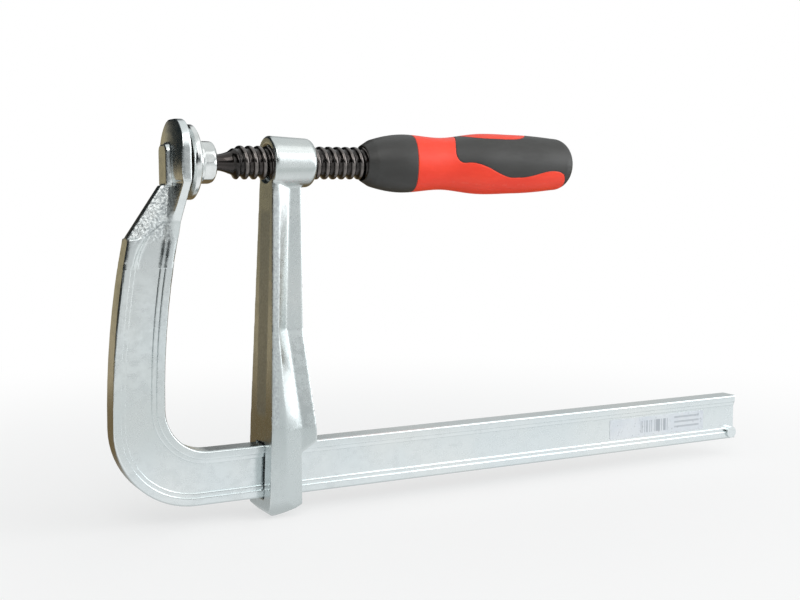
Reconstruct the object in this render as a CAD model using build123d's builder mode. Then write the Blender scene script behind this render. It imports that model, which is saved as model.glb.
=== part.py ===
# F clamp: a bent and forged rail with the fixed jaw, a forged sliding arm,
# a screw with a swivel pressure pad, and a two-colour handle.
# Frame: millimetres, +Z up, +X along the rail away from the fixed jaw.
# The origin is the centre of the fixed jaw's clamping face, on the screw's axis.
from build123d import *
import os

os.makedirs("parts", exist_ok=True)

# ---- overall sizes ----
opening = 300.0          # nominal clamping width
throat = 140.0           # screw axis to the top edge of the rail
rail_height = 26.5       # rail section, along Z
rail_thickness = 12.0    # rail section, along Y

# ---- clearances and travels ----
slide_clearance = 0.4    # rail in the sliding arm's slot, each side
slot_play = 0.6          # rail in the slot, above and below
thread_clearance = 0.08  # screw in the tapped collar, radial
ball_clearance = 0.08    # ball in the pad's socket, radial
swivel_clearance = 0.7   # retaining ring in its groove in the pad
ring_gap = 0.3           # retaining ring to the back of the ball
neck_clearance = 0.4     # retaining ring round the screw's neck, radial
washer_gap = 0.4         # thrust washer to the ball and to the pad's floor
washer_side_gap = 0.8    # thrust washer to the wall of its pocket
tang_clearance = 0.05    # screw's square tang in the handle, each side
entry_gap = 0.35         # thread to the wall of the nose's opening
thread_step = 1.3        # screw's start and the bore's front countersink, radial
back_step = 0.65         # bore's back countersink, radial
jaw_gap = 1.6            # fixed jaw's face to the pad, closed
feed_travel = 27.0       # screw travel from closed to fully back
run_out = 12.9           # arm travel beyond the nominal opening
past = 1.0               # how far a cut runs past what it cuts

# ---- fixed bow ----
outer_bend = 40.0        # bend radius on the outside of the bow
inner_bend = 22.0        # bend radius on the inside of the bow
bow_back = 37.0          # jaw face back to the bow's rearmost line
bow_width = 25.5         # bow section, along X
back_lean = 9.4          # how far the bow's back leans in by its neck
front_lean = 8.2         # how far the bow's inside leans in by its neck
neck_drop = 36.0         # screw axis down to the start of the forged neck
flange_width = 4.3       # full-thickness edge of the section
ledge_width = 2.2        # step between the edge and the web
ledge_depth = 0.9
web_depth = 1.8
edge_round = 1.1
recess_tip = 27.0        # screw axis down to the pointed top of the web's recess
recess_tip_back = 8.6    # jaw face back to that point
recess_bulge = 2.4       # how far the recess's upper edge is bowed
recess_shoulder = 49.5   # screw axis down to where that edge leaves the bow's back

# ---- forged jaw head ----
head_width = 36.0
head_top = 20.4
head_edge = 3.9          # face to the dome's edge at its widest
head_depth = 7.2         # face to the back of the dome
dome_radius = 21.4       # radius at which the dome meets that edge
head_shoulder = 9.0      # screw axis down to where the neck widens into the head
head_round = 14.5
rib_half = 6.5           # half width of the flat rib on the dome
rib_stand = 8.9          # face to the back of the rib
rib_top = 8.4
rib_round = 3.5          # upper corners of the rib
rib_edge = 0.7
rib_foot = 11.0          # screw axis down to where the rib meets the neck's back
spread_drop = 28.0       # screw axis down to where the neck spreads quickly
spread_half = 7.2        # half width there
spread_rim = 4.0         # rim along X there
spread_depth = 7.0       # front to back there
spread_top_depth = 6.2   # front to back where it meets the head
spread_back_half = 5.0   # half width of the spreading part's back
ridge_half = 3.0         # half width of the neck's back
ridge_stand = 10.6       # face to the neck's back at its upper end
ridge_top_half = 3.9     # half width of the neck there
ridge_slope = 6.0        # neck's back to its full thickness, along X

# ---- staked stops ----
stop_bump = 1.2          # how far the staked stops stand out of the rail's sides
stop_radius = 3.4
stop_inset = 7.0         # rail end to the near side of the stops
stop_rise = 0.6          # rail bottom up to the stops' lowest line

# ---- sliding arm ----
arm_face = 44.0          # jaw face to the arm's face at the screw's axis
arm_lean = 0.0384        # how much the arm's face leans in, per unit of drop
arm_flange = 3.6
arm_top_half = 8.6       # half width under the collar
foot_wall = 8.6          # foot outside the slot, each side
arm_web_half = 5.3
arm_facet = 6.6          # flange to web, along X
arm_depth = 16.5         # face to back, on the screw's axis
flare_depth = 20.2       # face to the flared back above the rail, from the same line
flare_start = 57.0       # rail top up to where the back begins to flare
foot_rise = 8.0          # rail top up to the top of the foot
foot_wall_depth = 11.7   # face to the back of the foot's walls, from the same line
foot_crease_depth = 2.6  # face to where the foot's walls begin to taper, from the same line
foot_taper = 2.2         # how much narrower the foot's walls are at their back
foot_back_slope = 4.4    # rail top down to where the foot's sloping back meets its walls
foot_drop = 9.4          # rail bottom down to the foot's lowest line
foot_heel = 5.6          # how much higher the foot's back lower edge is
foot_corner = 9.0
groove_top = 28.0        # screw axis down to the groove's upper end
groove_foot = 18.0       # rail top up to the groove's lower end
groove_top_radius = 2.0
groove_foot_radius = 4.6
groove_depth = 1.1

# ---- collar ----
collar_length = 23.4
collar_wall = 3.9        # thread to the outside of the collar's back end
collar_draft = 1.1       # how much wider the collar is at its front
collar_edge = 0.8
collar_round = 3.4

# ---- screw ----
thread_radius = 8.3
thread_lead = 1.0        # length of the bevel at the thread's start
neck_radius = 4.0
neck_length = 1.2        # straight part of the neck behind the pad
neck_flare = 8.4         # from there to the thread
ball_radius = 5.2
tang_size = 10.0
tang_length = 62.0
tang_round = 1.25

# ---- pressure pad ----
pad_radius = 18.0
pad_rim = 3.6
pad_chamfer = 1.3
pad_bevel = 0.9
pad_floor = 0.9          # pad's face to the bottom of the washer's pocket
pad_cone = 2.8           # rim to the boss, along X
boss_step = 0.6          # low ring in front of the boss, and how much its flats cut in
boss_sides = 9
boss_wall = 3.4          # ring groove to the outside of the boss
mouth_wall = 1.9         # ring groove to the crimped end of the boss
mouth_step = 0.5         # pad's mouth outside the retaining ring's bore, radial
ring_bite = 1.1          # retaining ring outside the ball, radial
ring_thickness = 0.9
washer_inset = 1.2       # thrust washer inside the ball's radius
washer_thickness = 0.7

# ---- handle ----
handle_gap = 28.8        # collar to the handle's nose, closed
handle_length = 126.4
nose_wall = 0.65         # nose's opening to its front edge, radial
shoulder_step = 2.7      # front edge to the shoulder, radial
shoulder_at = 4.6        # places along the handle are from its nose
shoulder_slope = 0.3
swell_radius = 15.1
swell_at = 23.0
waist_radius = 13.7
waist_at = 46.0
belly_radius = 16.0
belly_at = 67.0          # front end of the belly
belly_length = 20.0
tail_radius = 14.2
tail_round = 9.0
tail_slope = -0.1
skin = 1.5               # thickness of the black grip layer
nose_entry = 5.0         # how far the thread goes into the nose
nose_side = 25.4         # nose to the end of the black cone, at the sides
nose_crown = 28.0        # the same along the top and bottom
panel_start = 49.0       # nose to the front edge of the black panels
panel_front = 5.0        # height of the panel's foremost point above the axis
panel_lead = 6.0         # foremost point back to where the upper edge leaves the front edge
panel_top = 13.1         # height of the upper edge at its lowest
panel_opens = 43.0       # foremost point back to where the upper edge turns up to the crown
panel_low = 7.3          # how far the lower edge dips below the axis
panel_low_at = 38.0      # foremost point back to there
panel_waist = 4.4        # how far it is below the axis just before the tail
tail_drop = 10.5         # how far below the axis the tail's front edge turns under
tail_start = 117.0       # nose to where the black tail closes right round

# ---- size label ----
label_length = 70.0
label_height = 11.5
label_thickness = 0.2
label_round = 1.0
label_inset = 24.0       # rail end to the label

# ---- derived places ----
rail_top = -throat
rail_bottom = rail_top - rail_height
half_rail = rail_thickness / 2
neck_z = -neck_drop
bow_inside = bow_back - bow_width
neck_back = -bow_back + back_lean
neck_front = -bow_inside + front_lean
arm_back = arm_face + arm_depth
arm_flare = arm_face + flare_depth
arm_foot_half = half_rail + slide_clearance + foot_wall
foot_wall_back = arm_face + foot_wall_depth
foot_crease = arm_face + foot_crease_depth
retracted_pad = arm_face - feed_travel - jaw_gap
rail_end = opening + retracted_pad + foot_wall_depth + run_out + stop_inset
stop_face = rail_end - stop_inset
arm_travel = stop_face - foot_wall_back
foot_top = rail_top + foot_rise
foot_bottom = rail_bottom - foot_drop
flare_z = rail_top + flare_start
collar_back = arm_face + collar_length
nose = collar_back + handle_gap
handle_end = nose + handle_length
across = 2 * belly_radius
thread_end = nose + nose_entry
collar_back_radius = thread_radius + collar_wall
collar_front_radius = collar_back_radius + collar_draft
nose_radius = thread_radius + entry_gap + nose_wall
shoulder_radius = nose_radius + shoulder_step
washer_front = jaw_gap + pad_floor + washer_gap
washer_radius = ball_radius - washer_inset
ball_centre = washer_front + washer_thickness + washer_gap + ball_radius
ring_inner = neck_radius + neck_clearance
ring_outer = ball_radius + ring_bite
ring_front = ball_centre + (ball_radius**2 - (ring_inner - ring_gap) ** 2) ** 0.5
mouth_radius = ring_inner + mouth_step
boss_radius = ring_outer + swivel_clearance + boss_wall
boss_flat = boss_radius - boss_step
boss_start = jaw_gap + pad_rim + pad_cone
boss_end = ring_front + ring_thickness + swivel_clearance + mouth_wall
thread_start = boss_end + neck_length + neck_flare
print("rail end", round(rail_end, 2), "arm travel", round(arm_travel, 2))


# ---------- rail and fixed jaw, one bent and forged piece ----------
def bow_side(inset, run_past):
    """Side view of the rail and the bow up to its neck, drawn in by an inset all round."""
    low = rail_bottom + inset
    high = rail_top - inset
    back = -bow_back + inset
    inside = -bow_inside - inset
    outer = outer_bend - inset
    inner = inner_bend + inset
    end = rail_end + run_past
    top_back = (neck_back + inset, neck_z)
    top_front = (neck_front - inset, neck_z)
    with BuildSketch() as side:
        with BuildLine():
            Line((end, high), (end, low))
            Line((end, low), (back + outer, low))
            CenterArc((back + outer, low + outer), outer, 180, 90)
            TangentArc((back, low + outer), top_back, tangent=(0, 1))
            Line(top_back, top_front)
            TangentArc((inside, high + inner), top_front, tangent=(0, 1))
            CenterArc((inside + inner, high + inner), inner, 180, 90)
            Line((inside + inner, high), (end, high))
        make_face()
    return side.sketch


def recess_top(inset):
    """Side view of the web's recess above the bow, where it runs to a point beside the front edge."""
    with BuildSketch() as top:
        with BuildLine():
            Polyline(
                (neck_back + inset, neck_z - past), (-recess_tip_back, -recess_tip),
                (neck_front - inset, neck_z - past), close=True,
            )
        make_face()
    return top.sketch


def neck_shoulder(inset):
    """Side view of the forged shoulder that the web's recess stops against."""
    low_end = (neck_back + inset - ledge_width, -recess_shoulder)
    middle = ((low_end[0] - recess_tip_back) / 2 - recess_bulge, (low_end[1] - recess_tip) / 2 + recess_bulge)
    with BuildSketch() as shoulder:
        with BuildLine():
            ThreePointArc(low_end, middle, (-recess_tip_back, -recess_tip))
            Polyline(
                (-recess_tip_back, -recess_tip), (-recess_tip_back, 0), (-bow_back - bow_width, 0),
                (-bow_back - bow_width, low_end[1]), low_end,
            )
        make_face()
    return shoulder.sketch


def neck_section(back, front, half):
    """Section through the neck: full thickness at the front, a narrow ridge at the back."""
    with BuildSketch() as section:
        with BuildLine():
            Polyline(
                (back, -ridge_half), (back + ridge_slope, -half), (front, -half),
                (front, half), (back + ridge_slope, half), (back, ridge_half), close=True,
            )
        make_face()
    return section.sketch


def spread_section(front, rim_back, back, half):
    """Section through the part that spreads from the neck into the head."""
    with BuildSketch() as section:
        with BuildLine():
            Polyline(
                (front, -half), (rim_back, -half), (back, -spread_back_half),
                (back, spread_back_half), (rim_back, half), (front, half), close=True,
            )
        make_face()
    return section.sketch


with BuildPart() as rail_and_fixed_jaw:
    # the head: an arched outline, a flat rim and a domed back
    with BuildSketch(Plane.YZ):
        half_head = head_width / 2
        arch_z = head_top - head_round
        with BuildLine():
            Polyline(
                (-half_head, arch_z), (-half_head, -head_shoulder),
                (half_head, -head_shoulder), (half_head, arch_z),
            )
            CenterArc((half_head - head_round, arch_z), head_round, 0, 90)
            Line((half_head - head_round, head_top), (head_round - half_head, head_top))
            CenterArc((head_round - half_head, arch_z), head_round, 90, 90)
        make_face()
    extrude(amount=-head_depth)
    with BuildSketch(Plane.XZ):
        with BuildLine():
            TangentArc((-head_depth, 0), (-head_edge, dome_radius), tangent=(0, 1))
            Polyline(
                (-head_edge, dome_radius), (-head_edge, head_width), (-2 * head_depth, head_width),
                (-2 * head_depth, 0), (-head_depth, 0),
            )
        make_face()
    revolve(axis=Axis.X, mode=Mode.SUBTRACT)
    # the rail and the bow
    with BuildSketch(Plane.XZ.offset(-half_rail)):
        add(bow_side(0, 0))
    extrude(amount=rail_thickness)
    side_edges = rail_and_fixed_jaw.edges().filter_by(lambda e: abs(abs(e.center().Y) - half_rail) < 0.01)
    long_edges = side_edges.filter_by(lambda e: abs(e.center().X - rail_end) > 0.5)
    fillet(long_edges.filter_by(lambda e: e.center().Z < neck_z - 0.5), edge_round)
    # the neck rises to the foot of the rib
    with BuildSketch(Plane.XY.offset(neck_z)):
        add(neck_section(neck_back, neck_front, half_rail))
    with BuildSketch(Plane.XY.offset(-rib_foot)):
        add(neck_section(-ridge_stand, 0, ridge_top_half))
    loft(ruled=True)
    # its front spreads into the head
    spread_front = neck_front * (spread_drop - rib_foot) / (neck_drop - rib_foot)
    with BuildSketch(Plane.XY.offset(neck_z)):
        add(spread_section(neck_front, neck_front - flange_width / 2, neck_front - flange_width, half_rail))
    with BuildSketch(Plane.XY.offset(-spread_drop)):
        add(spread_section(spread_front, spread_front - spread_rim, spread_front - spread_depth, spread_half))
    with BuildSketch(Plane.XY.offset(-head_shoulder)):
        add(spread_section(0, -head_edge, -spread_top_depth, half_head))
    loft(ruled=True)
    # stepped recess in each side, which leaves the web
    for depth, inset in ((ledge_depth, flange_width), (web_depth, flange_width + ledge_width)):
        for side in (-1, 1):
            with BuildSketch(Plane.XZ.offset(side * (half_rail - depth))):
                add(bow_side(inset, rail_thickness))
                add(recess_top(inset))
                add(neck_shoulder(inset), mode=Mode.SUBTRACT)
            extrude(amount=side * rail_thickness, mode=Mode.SUBTRACT)
    # a flat rib up the middle of the head's back
    with BuildSketch(Plane.YZ):
        with Locations((0, (rib_top - rib_foot) / 2)):
            Rectangle(2 * rib_half, rib_top + rib_foot)
        fillet(vertices().group_by(Axis.Y)[-1], rib_round)
    extrude(amount=-rib_stand)
    rib_rim = rail_and_fixed_jaw.edges().filter_by(lambda e: abs(e.center().X + rib_stand) < 0.01)
    fillet(rib_rim.filter_by(lambda e: e.center().Z > past - rib_foot), rib_edge)
    # staked stops near the rail's free end, one on each side
    with BuildSketch(Plane.XZ.offset(-half_rail - stop_bump)):
        with Locations((stop_face + stop_radius, rail_bottom + stop_radius + stop_rise)):
            Circle(stop_radius)
    extrude(amount=rail_thickness + 2 * stop_bump)
rail_and_fixed_jaw.part.label = "rail_and_fixed_jaw"
export_step(rail_and_fixed_jaw.part, "parts/rail_and_fixed_jaw.step")


# ---------- sliding arm ----------
def face_at(z):
    """X of the arm's leaning front face at a height z."""
    return arm_face + arm_lean * z


def arm_section(front, half, facet_front, facet_back, web_half, back):
    """Section through the arm: a wide front flange, two slanted facets and a narrower web."""
    with BuildSketch() as section:
        with BuildLine():
            Polyline(
                (front, -half), (facet_front, -half), (facet_back, -web_half), (back, -web_half),
                (back, web_half), (facet_back, web_half), (facet_front, half), (front, half), close=True,
            )
        make_face()
    return section.sketch


flange_at_flare = face_at(flare_z) + arm_flange
facet_at_flare = flange_at_flare + arm_facet
half_at_flare = arm_top_half + (arm_foot_half - arm_top_half) * flare_z / foot_top
section_at_flare = arm_section(
    face_at(flare_z), half_at_flare, flange_at_flare, facet_at_flare, arm_web_half, arm_back,
)
top_flange = arm_face + arm_flange
wall_half = arm_foot_half - foot_taper

with BuildPart() as sliding_arm:
    with BuildSketch(Plane.XY):
        add(arm_section(arm_face, arm_top_half, top_flange, top_flange + arm_facet, arm_web_half, arm_back))
    with BuildSketch(Plane.XY.offset(flare_z)):
        add(section_at_flare)
    loft(ruled=True)
    with BuildSketch(Plane.XY.offset(flare_z)):
        add(section_at_flare)
    with BuildSketch(Plane.XY.offset(foot_top)):
        add(arm_section(face_at(foot_top), arm_foot_half, foot_crease, foot_wall_back, wall_half, arm_flare))
    loft(ruled=True)
    # the foot goes round the rail
    with BuildSketch(Plane.XZ.offset(-arm_foot_half)):
        with BuildLine():
            Polyline(
                (face_at(foot_top), foot_top), (arm_flare, foot_top), (arm_flare, rail_top + slot_play),
                (foot_wall_back, rail_top - foot_back_slope), (foot_wall_back, foot_bottom + foot_heel),
                (face_at(foot_bottom) + arm_flange, foot_bottom),
                (face_at(foot_bottom), foot_bottom + arm_flange),
                close=True,
            )
        make_face()
    extrude(amount=2 * arm_foot_half)
    for side in (-1, 1):
        with BuildSketch(Plane.XY.offset(foot_top)):
            with BuildLine():
                Polyline(
                    (foot_crease, side * arm_foot_half), (foot_wall_back, side * wall_half),
                    (arm_flare + past, side * wall_half), (arm_flare + past, side * (arm_foot_half + past)),
                    (foot_crease, side * (arm_foot_half + past)), close=True,
                )
            make_face()
        extrude(amount=foot_bottom - foot_top - past, mode=Mode.SUBTRACT)
    # lower corners of the foot
    for side in (-1, 1):
        with BuildSketch(Plane.YZ.offset(face_at(foot_bottom) - past)):
            with BuildLine():
                corner_y = side * (arm_foot_half - foot_corner)
                corner_z = foot_bottom + foot_corner
                outside_y = side * (arm_foot_half + past)
                Polyline(
                    (corner_y, foot_bottom), (corner_y, foot_bottom - past), (outside_y, foot_bottom - past),
                    (outside_y, corner_z), (side * arm_foot_half, corner_z),
                )
                RadiusArc((side * arm_foot_half, corner_z), (corner_y, foot_bottom), side * foot_corner)
            make_face()
        extrude(amount=arm_flare, mode=Mode.SUBTRACT)
    # collar for the screw
    with BuildSketch(Plane.XZ):
        with BuildLine():
            round_start = (collar_back - collar_round, collar_back_radius)
            round_end = (collar_back, collar_back_radius - collar_round)
            Polyline(
                (arm_face, 0), (arm_face, collar_front_radius - collar_edge),
                (arm_face + collar_edge, collar_front_radius), round_start,
            )
            RadiusArc(round_start, round_end, collar_round)
            Polyline(round_end, (collar_back, 0), (arm_face, 0))
        make_face()
    revolve(axis=Axis.X)
    # tapped bore with a countersink at each mouth
    with BuildSketch(Plane.XZ):
        bore = thread_radius + thread_clearance
        with BuildLine():
            Polyline(
                (arm_face - past, 0), (arm_face - past, bore + thread_step + past),
                (arm_face + thread_step, bore),
                (collar_back - back_step, bore), (collar_back + past, bore + back_step + past),
                (collar_back + past, 0), close=True,
            )
        make_face()
    revolve(axis=Axis.X, mode=Mode.SUBTRACT)
    # slot for the rail
    with Locations(((arm_face + arm_flare) / 2, 0, (rail_top + rail_bottom) / 2)):
        Box(arm_flare, rail_thickness + 2 * slide_clearance, rail_height + 2 * slot_play, mode=Mode.SUBTRACT)
    # long shallow groove in the front face
    with BuildSketch(Plane((face_at(0), 0, 0), x_dir=(0, 1, 0), z_dir=(-1, 0, arm_lean))):
        with BuildLine():
            Polyline(
                (-groove_top_radius, -groove_top), (groove_top_radius, -groove_top),
                (groove_foot_radius, groove_foot - throat), (-groove_foot_radius, groove_foot - throat),
                close=True,
            )
        make_face()
        with Locations((0, -groove_top)):
            Circle(groove_top_radius)
        with Locations((0, groove_foot - throat)):
            Circle(groove_foot_radius)
    extrude(amount=groove_depth, both=True, mode=Mode.SUBTRACT)
sliding_arm.part.label = "sliding_arm"
export_step(sliding_arm.part, "parts/sliding_arm.step")


# ---------- screw ----------
with BuildPart() as spindle:
    with BuildSketch(Plane.XZ):
        neck_start = ball_centre + (ball_radius**2 - neck_radius**2) ** 0.5
        flare_start_x = boss_end + neck_length
        thread_end_radius = thread_radius - thread_step
        with BuildLine():
            ThreePointArc(
                (ball_centre - ball_radius, 0), (ball_centre, ball_radius), (neck_start, neck_radius),
            )
            Line((neck_start, neck_radius), (flare_start_x, neck_radius))
            TangentArc(
                (flare_start_x, neck_radius), (thread_start, thread_end_radius), tangent=(1, 0),
            )
            Polyline(
                (thread_start, thread_end_radius), (thread_start + thread_lead, thread_radius),
                (thread_end, thread_radius), (thread_end, 0),
            )
            Line((thread_end, 0), (ball_centre - ball_radius, 0))
        make_face()
    revolve(axis=Axis.X)
    with BuildSketch(Plane.YZ.offset(thread_end)):
        RectangleRounded(tang_size, tang_size, tang_round)
    extrude(amount=tang_length)
spindle.part.label = "spindle"
export_step(spindle.part, "parts/spindle.step")


# ---------- pressure pad and what holds it on the ball ----------
with BuildPart() as pressure_pad:
    with BuildSketch(Plane.XZ):
        with BuildLine():
            Polyline(
                (jaw_gap, 0), (jaw_gap, pad_radius - pad_chamfer), (jaw_gap + pad_chamfer, pad_radius),
                (jaw_gap + pad_rim, pad_radius), (jaw_gap + pad_rim + pad_bevel, pad_radius - pad_bevel),
                (boss_start, boss_radius + boss_step), (boss_start, 0), close=True,
            )
        make_face()
    revolve(axis=Axis.X)
    # many-sided boss with a crimped end
    with BuildSketch(Plane.YZ.offset(boss_start)):
        RegularPolygon(boss_flat, boss_sides, major_radius=False)
        Circle(boss_radius, mode=Mode.INTERSECT)
    extrude(amount=boss_end - mouth_wall - boss_start)
    with BuildSketch(Plane.YZ.offset(boss_end - mouth_wall)):
        Circle(boss_flat)
    with BuildSketch(Plane.YZ.offset(boss_end)):
        Circle(boss_flat - mouth_wall)
    loft()
    # socket: washer pocket, ball seat, ring groove and mouth
    with BuildSketch(Plane.XZ):
        seat = ball_radius + ball_clearance
        groove_front = ring_front - swivel_clearance
        groove_back = ring_front + ring_thickness + swivel_clearance
        groove_radius = ring_outer + swivel_clearance
        pocket_radius = washer_radius + washer_side_gap
        pocket_end = ball_centre - (seat**2 - pocket_radius**2) ** 0.5
        with BuildLine():
            Polyline(
                (washer_front - washer_gap, 0), (washer_front - washer_gap, pocket_radius),
                (pocket_end, pocket_radius),
            )
            RadiusArc((pocket_end, pocket_radius), (ball_centre, seat), seat)
            Polyline(
                (ball_centre, seat), (groove_front, seat), (groove_front, groove_radius),
                (groove_back, groove_radius), (groove_back, mouth_radius), (boss_end + past, mouth_radius),
                (boss_end + past, 0), (washer_front - washer_gap, 0),
            )
        make_face()
    revolve(axis=Axis.X, mode=Mode.SUBTRACT)
pressure_pad.part.label = "pressure_pad"
export_step(pressure_pad.part, "parts/pressure_pad.step")

with BuildPart() as ball_retaining_ring:
    with BuildSketch(Plane.YZ.offset(ring_front)):
        Circle(ring_outer)
        Circle(ring_inner, mode=Mode.SUBTRACT)
        # the split that lets the ring spring open
        with Locations((0, (ring_inner + ring_outer) / 2)):
            Rectangle(ring_thickness, ring_outer, mode=Mode.SUBTRACT)
    extrude(amount=ring_thickness)
ball_retaining_ring.part.label = "ball_retaining_ring"
export_step(ball_retaining_ring.part, "parts/ball_retaining_ring.step")

with BuildPart() as thrust_washer:
    with BuildSketch(Plane.YZ.offset(washer_front)):
        Circle(washer_radius)
    extrude(amount=washer_thickness)
thrust_washer.part.label = "thrust_washer"
export_step(thrust_washer.part, "parts/thrust_washer.step")


# ---------- handle ----------
def handle_half(inset):
    """Half of the handle's lengthways profile, drawn in by an inset."""
    tail = handle_end - tail_round
    with BuildSketch() as half:
        with BuildLine():
            Line((nose + inset, 0), (nose + inset, nose_radius - inset))
            Line((nose + inset, nose_radius - inset), (nose + shoulder_at, shoulder_radius - inset))
            Spline(
                (nose + shoulder_at, shoulder_radius - inset), (nose + swell_at, swell_radius - inset),
                (nose + waist_at, waist_radius - inset), (nose + belly_at, belly_radius - inset),
                (nose + belly_at + belly_length, belly_radius - inset), (tail, tail_radius - inset),
                tangents=((1, shoulder_slope), (1, tail_slope)),
            )
            corner = tail_round - inset
            CenterArc((tail, tail_radius - tail_round), corner, 0, 90)
            Line((handle_end - inset, tail_radius - tail_round), (handle_end - inset, 0))
            Line((handle_end - inset, 0), (nose + inset, 0))
        make_face()
    return half.sketch


def grip_window():
    """Side view of the black rear grip: two side panels and a tail that closes right round."""
    start = nose + panel_start
    tail = nose + tail_start
    top_start = (start + panel_lead, waist_radius + skin)
    crown = (tail - panel_lead - 2 * past, across)
    low_point = (start + panel_low_at, -panel_low)
    waist = (tail + past / 2, -panel_waist - skin)
    front_low = (start + panel_lead + past, past / 2)
    with BuildSketch() as window:
        with BuildLine():
            Spline(
                top_start, (start + 2 * panel_lead, panel_top + past), (start + 5 * panel_lead, panel_top),
                (start + panel_opens, panel_top + past / 2), crown,
            )
            Polyline(
                crown, (handle_end + past, across), (handle_end + past, -across),
                (tail + tail_round, -across),
            )
            Spline((tail + tail_round, -across), (tail + tail_round / 3, -tail_drop), waist)
            Spline(
                waist, (tail - 3 * past, -panel_waist),
                (start + panel_opens + panel_lead, -panel_waist - skin), low_point,
            )
            Spline(
                low_point, (start + 5 * panel_lead, -panel_low + past / 2),
                (start + 3 * panel_lead, -2 * past), front_low,
            )
            Spline(front_low, (start + skin, skin), (start, panel_front))
            Spline((start, panel_front), (start + past, 2 * panel_front - past), top_start)
        make_face()
    return window.sketch


def nose_window():
    """Side view of the black front cone, whose rear edge is longer along the top and bottom."""
    with BuildSketch() as window:
        with BuildLine():
            crown = nose + nose_crown
            ThreePointArc((crown, -swell_radius), (nose + nose_side, 0), (crown, swell_radius))
            Polyline(
                (crown, swell_radius), (crown, across), (nose - past, across), (nose - past, -across),
                (crown, -across), (crown, -swell_radius),
            )
        make_face()
    return window.sketch


with BuildPart() as handle_nose:
    with BuildSketch(Plane.XZ):
        add(handle_half(0))
    revolve(axis=Axis.X)
    with BuildSketch(Plane.XZ.offset(-across)):
        add(nose_window())
    extrude(amount=2 * across, mode=Mode.INTERSECT)
    # the red core reaches into the nose behind the opening
    with BuildSketch(Plane.YZ.offset(thread_end)):
        Circle(shoulder_radius - 2 * skin)
    extrude(amount=handle_length, mode=Mode.SUBTRACT)
    with BuildSketch(Plane.YZ.offset(nose - past)):
        Circle(thread_radius + entry_gap)
    extrude(amount=nose_entry + past, mode=Mode.SUBTRACT)
handle_nose.part.label = "handle_nose"
export_step(handle_nose.part, "parts/handle_nose.step")

with BuildPart() as handle_grip:
    with BuildSketch(Plane.XZ):
        add(handle_half(0))
    revolve(axis=Axis.X)
    with BuildSketch(Plane.XZ):
        add(handle_half(skin))
    revolve(axis=Axis.X, mode=Mode.SUBTRACT)
    with BuildSketch(Plane.XZ.offset(-across)):
        add(grip_window())
    extrude(amount=2 * across, mode=Mode.INTERSECT)
handle_grip.part.label = "handle_grip"
export_step(handle_grip.part, "parts/handle_grip.step")

with BuildPart() as handle_core:
    with BuildSketch(Plane.XZ):
        add(handle_half(0))
    revolve(axis=Axis.X)
    add(handle_grip.part, mode=Mode.SUBTRACT)
    add(handle_nose.part, mode=Mode.SUBTRACT)
    with BuildSketch(Plane.YZ.offset(nose - past)):
        Circle(thread_radius + entry_gap)
    extrude(amount=nose_entry + past, mode=Mode.SUBTRACT)
    hole = tang_size + 2 * tang_clearance
    with BuildSketch(Plane.YZ.offset(thread_end)):
        RectangleRounded(hole, hole, tang_round)
    extrude(amount=tang_length + tang_clearance, mode=Mode.SUBTRACT)
handle_core.part.label = "handle_core"
export_step(handle_core.part, "parts/handle_core.step")


# ---------- plain size label in the rail's web ----------
with BuildPart() as size_label:
    with BuildSketch(Plane.XZ.offset(half_rail - web_depth)):
        with Locations((rail_end - label_inset - label_length / 2, (rail_top + rail_bottom) / 2)):
            RectangleRounded(label_length, label_height, label_round)
    extrude(amount=label_thickness)
size_label.part.label = "size_label"
export_step(size_label.part, "parts/size_label.step")
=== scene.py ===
# F clamp, dressed round its CAD frame: forged and rolled steel, screw, swivel pad and two-colour handle.
import math
import bmesh
import bpy
from mathutils import Matrix, Vector


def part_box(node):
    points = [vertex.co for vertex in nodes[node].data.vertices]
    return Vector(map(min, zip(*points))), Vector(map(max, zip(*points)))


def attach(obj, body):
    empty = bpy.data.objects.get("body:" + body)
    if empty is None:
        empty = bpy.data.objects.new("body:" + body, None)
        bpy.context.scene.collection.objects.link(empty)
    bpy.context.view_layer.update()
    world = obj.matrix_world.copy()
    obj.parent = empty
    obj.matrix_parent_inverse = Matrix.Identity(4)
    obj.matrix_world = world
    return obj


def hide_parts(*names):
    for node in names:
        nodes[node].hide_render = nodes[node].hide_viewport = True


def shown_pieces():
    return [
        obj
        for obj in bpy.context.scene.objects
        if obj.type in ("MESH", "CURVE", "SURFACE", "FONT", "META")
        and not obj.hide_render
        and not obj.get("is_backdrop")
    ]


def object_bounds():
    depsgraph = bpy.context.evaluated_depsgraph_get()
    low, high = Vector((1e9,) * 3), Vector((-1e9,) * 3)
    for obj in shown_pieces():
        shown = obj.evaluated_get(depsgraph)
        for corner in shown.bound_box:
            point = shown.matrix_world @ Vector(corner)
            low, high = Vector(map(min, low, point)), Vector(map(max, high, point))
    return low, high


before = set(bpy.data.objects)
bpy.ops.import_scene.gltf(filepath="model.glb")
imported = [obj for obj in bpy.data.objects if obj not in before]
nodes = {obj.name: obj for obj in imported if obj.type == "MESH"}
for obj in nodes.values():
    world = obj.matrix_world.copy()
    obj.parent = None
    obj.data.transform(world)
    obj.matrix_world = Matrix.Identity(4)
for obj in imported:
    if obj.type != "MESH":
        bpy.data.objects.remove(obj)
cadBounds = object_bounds()
mm = 0.001


# ways of working that every piece uses
def makeActive(piece):
    bpy.ops.object.select_all(action="DESELECT")
    piece.select_set(True)
    bpy.context.view_layer.objects.active = piece


def openMesh(piece, kind="VERT"):
    makeActive(piece)
    bpy.ops.object.mode_set(mode="EDIT")
    bpy.ops.mesh.select_mode(type=kind)
    bpy.ops.mesh.select_all(action="DESELECT")


def closeMesh():
    bpy.ops.object.mode_set(mode="OBJECT")


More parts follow.
